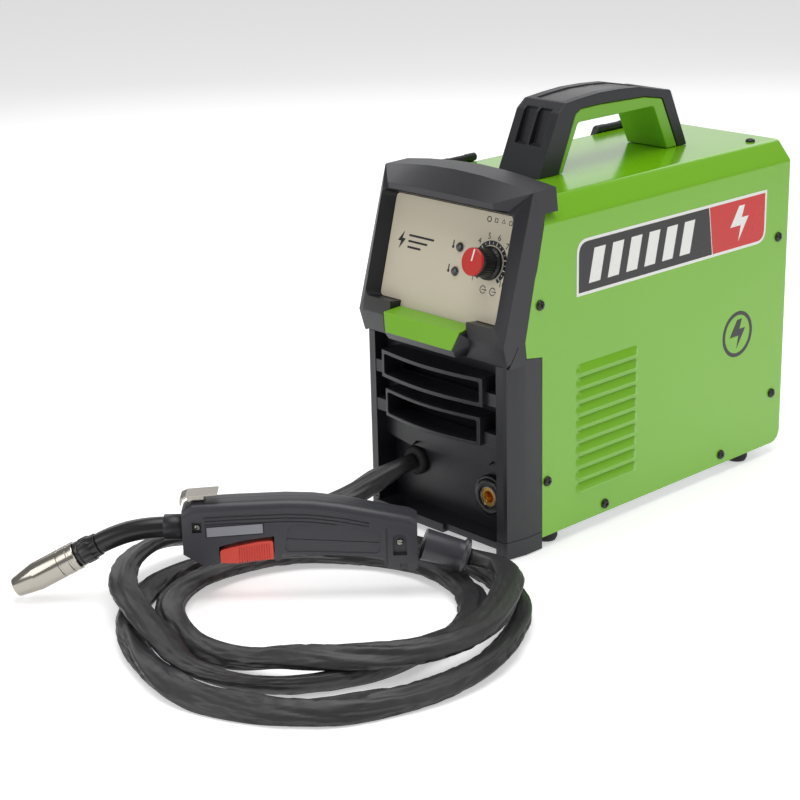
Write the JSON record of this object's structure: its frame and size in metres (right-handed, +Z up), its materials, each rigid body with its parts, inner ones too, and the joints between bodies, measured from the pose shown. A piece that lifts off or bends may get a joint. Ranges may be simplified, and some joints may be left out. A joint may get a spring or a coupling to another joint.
{
  "type": "portable MIG welding machine",
  "caption": "Portable wire-feed welding machine in a green steel case with a carrying handle, sloping control panel, hinged side door and a torch on a coiled cable.",
  "frame": {"origin": "centre of the box around the case and the torch, without the cable, at floor level", "axes": "+Z up, the front panel faces -Y, the louvred side of the case faces +X; one unit is one metre"},
  "size_m": [0.3767, 0.7246, 0.361],
  "materials": {
    "green_enamel": "gloss",
    "black_plastic": "satin",
    "beige_plate": "satin",
    "green_plastic": "gloss",
    "red_plastic": "satin",
    "rubber": "matte",
    "zinc_steel": "satin",
    "nickel": "polished",
    "brass": "polished",
    "copper": "satin",
    "aluminium": "satin",
    "circuit_board": "satin",
    "winding_tape": "satin",
    "lamp_lens": "gloss"
  },
  "bodies": {
    "machine": {"base_tray": "zinc_steel", "cover": "green_enamel", "hinge_front": "black_plastic", "hinge_rear": "black_plastic", "front_bezel": "black_plastic", "front_surround": "black_plastic", "control_plate": "beige_plate", "badge": "green_plastic", "louvre_upper": "black_plastic", "louvre_lower": "black_plastic", "recess_panel": "black_plastic", "knob_potentiometer": "zinc_steel", "lamp_power": "lamp_lens", "lamp_thermal": "lamp_lens", "cable_gland": "rubber", "socket_body": "black_plastic", "socket_insert": "brass", "handle_shell": "black_plastic", "handle_inner": "green_plastic", "rear_panel": "green_enamel", "fan_frame": "black_plastic", "switch_body": "black_plastic", "mains_gland": "black_plastic", "foot_front_left": "rubber", "foot_front_right": "rubber", "foot_rear_left": "rubber", "foot_rear_right": "rubber", "centre_wall": "zinc_steel", "power_board": "circuit_board", "heatsink": "aluminium", "transformer": "winding_tape", "spool_spindle": "black_plastic", "feed_plate": "aluminium", "feed_motor": "zinc_steel", "nozzle": "nickel", "contact_tip": "copper", "neck_collar": "black_plastic", "swan_neck": "black_plastic", "neck_sleeve": "black_plastic", "torch_handle_left": "black_plastic", "torch_handle_right": "black_plastic", "torch_rear_sleeve": "black_plastic", "hang_hook": "nickel", "torch_cable": "rubber"},
    "left_door": {"left_door": "green_enamel"},
    "latch_front": {"door_latch_front": "black_plastic"},
    "latch_rear": {"door_latch_rear": "black_plastic"},
    "knob": {"control_knob": "black_plastic", "knob_cap": "red_plastic"},
    "rocker": {"switch_rocker": "red_plastic"},
    "fan": {"fan_rotor": "black_plastic"},
    "spool": {"wire_spool": "black_plastic", "welding_wire": "copper"},
    "spool_nut": {"spool_nut": "black_plastic"},
    "drive_roll": {"drive_roll": "zinc_steel"},
    "pressure_arm": {"pressure_arm": "black_plastic"},
    "pressure_roll": {"pressure_roll": "zinc_steel"},
    "tension_knob": {"tension_knob": "red_plastic"},
    "trigger": {"trigger": "red_plastic"}
  },
  "joints": [
    {"name": "door_hinge", "type": "hinge", "parent": "machine", "child": "left_door", "pos_m": [-0.05075, 0.186, 0.3013], "axis": [0, 1, 0], "range_deg": [0, 110]},
    {"name": "front_latch_turn", "type": "hinge", "parent": "left_door", "child": "latch_front", "pos_m": [-0.06325, 0.087, 0.04], "axis": [1, 0, 0], "range_deg": [0, 90]},
    {"name": "rear_latch_turn", "type": "hinge", "parent": "left_door", "child": "latch_rear", "pos_m": [-0.06325, 0.287, 0.04], "axis": [1, 0, 0], "range_deg": [0, 90]},
    {"name": "knob_turn", "type": "hinge", "parent": "machine", "child": "knob", "pos_m": [0.07175, -0.00555, 0.24682], "axis": [0, -0.9659, 0.2588], "range_deg": [-135, 135]},
    {"name": "power_rocker", "type": "hinge", "parent": "machine", "child": "rocker", "pos_m": [0.07275, 0.34, 0.248], "axis": [1, 0, 0], "range_deg": [0, 18]},
    {"name": "fan_spin", "type": "hinge", "parent": "machine", "child": "fan", "pos_m": [0.05675, 0.3291, 0.165], "axis": [0, 1, 0], "continuous": true},
    {"name": "spool_spin", "type": "hinge", "parent": "machine", "child": "spool", "pos_m": [-0.02375, 0.207, 0.188], "axis": [1, 0, 0], "continuous": true},
    {"name": "spool_nut_turn", "type": "hinge", "parent": "machine", "child": "spool_nut", "pos_m": [-0.04975, 0.207, 0.188], "axis": [1, 0, 0], "continuous": true},
    {"name": "drive_roll_spin", "type": "hinge", "parent": "machine", "child": "drive_roll", "pos_m": [-0.00125, 0.077, 0.0375], "axis": [1, 0, 0], "continuous": true},
    {"name": "pressure_arm_lift", "type": "hinge", "parent": "machine", "child": "pressure_arm", "pos_m": [-0.00225, 0.051, 0.07], "axis": [1, 0, 0], "range_deg": [0, 50]},
    {"name": "pressure_roll_spin", "type": "hinge", "parent": "pressure_arm", "child": "pressure_roll", "pos_m": [-0.00125, 0.077, 0.063], "axis": [1, 0, 0], "continuous": true},
    {"name": "tension_knob_turn", "type": "hinge", "parent": "pressure_arm", "child": "tension_knob", "pos_m": [-0.00925, 0.096, 0.087], "axis": [0, 0, 1], "continuous": true},
    {"name": "trigger_pull", "type": "slide", "parent": "machine", "child": "trigger", "axis": [0, 0, 1], "range_m": [0, 0.0025], "stiffness_N_per_m": 700, "springref_m": -0.0005}
  ],
  "couplings": [
    {"joint": "spool_spin", "follows": "drive_roll_spin", "ratio": -0.375},
    {"joint": "pressure_roll_spin", "follows": "drive_roll_spin", "ratio": -1.5789}
  ]
}
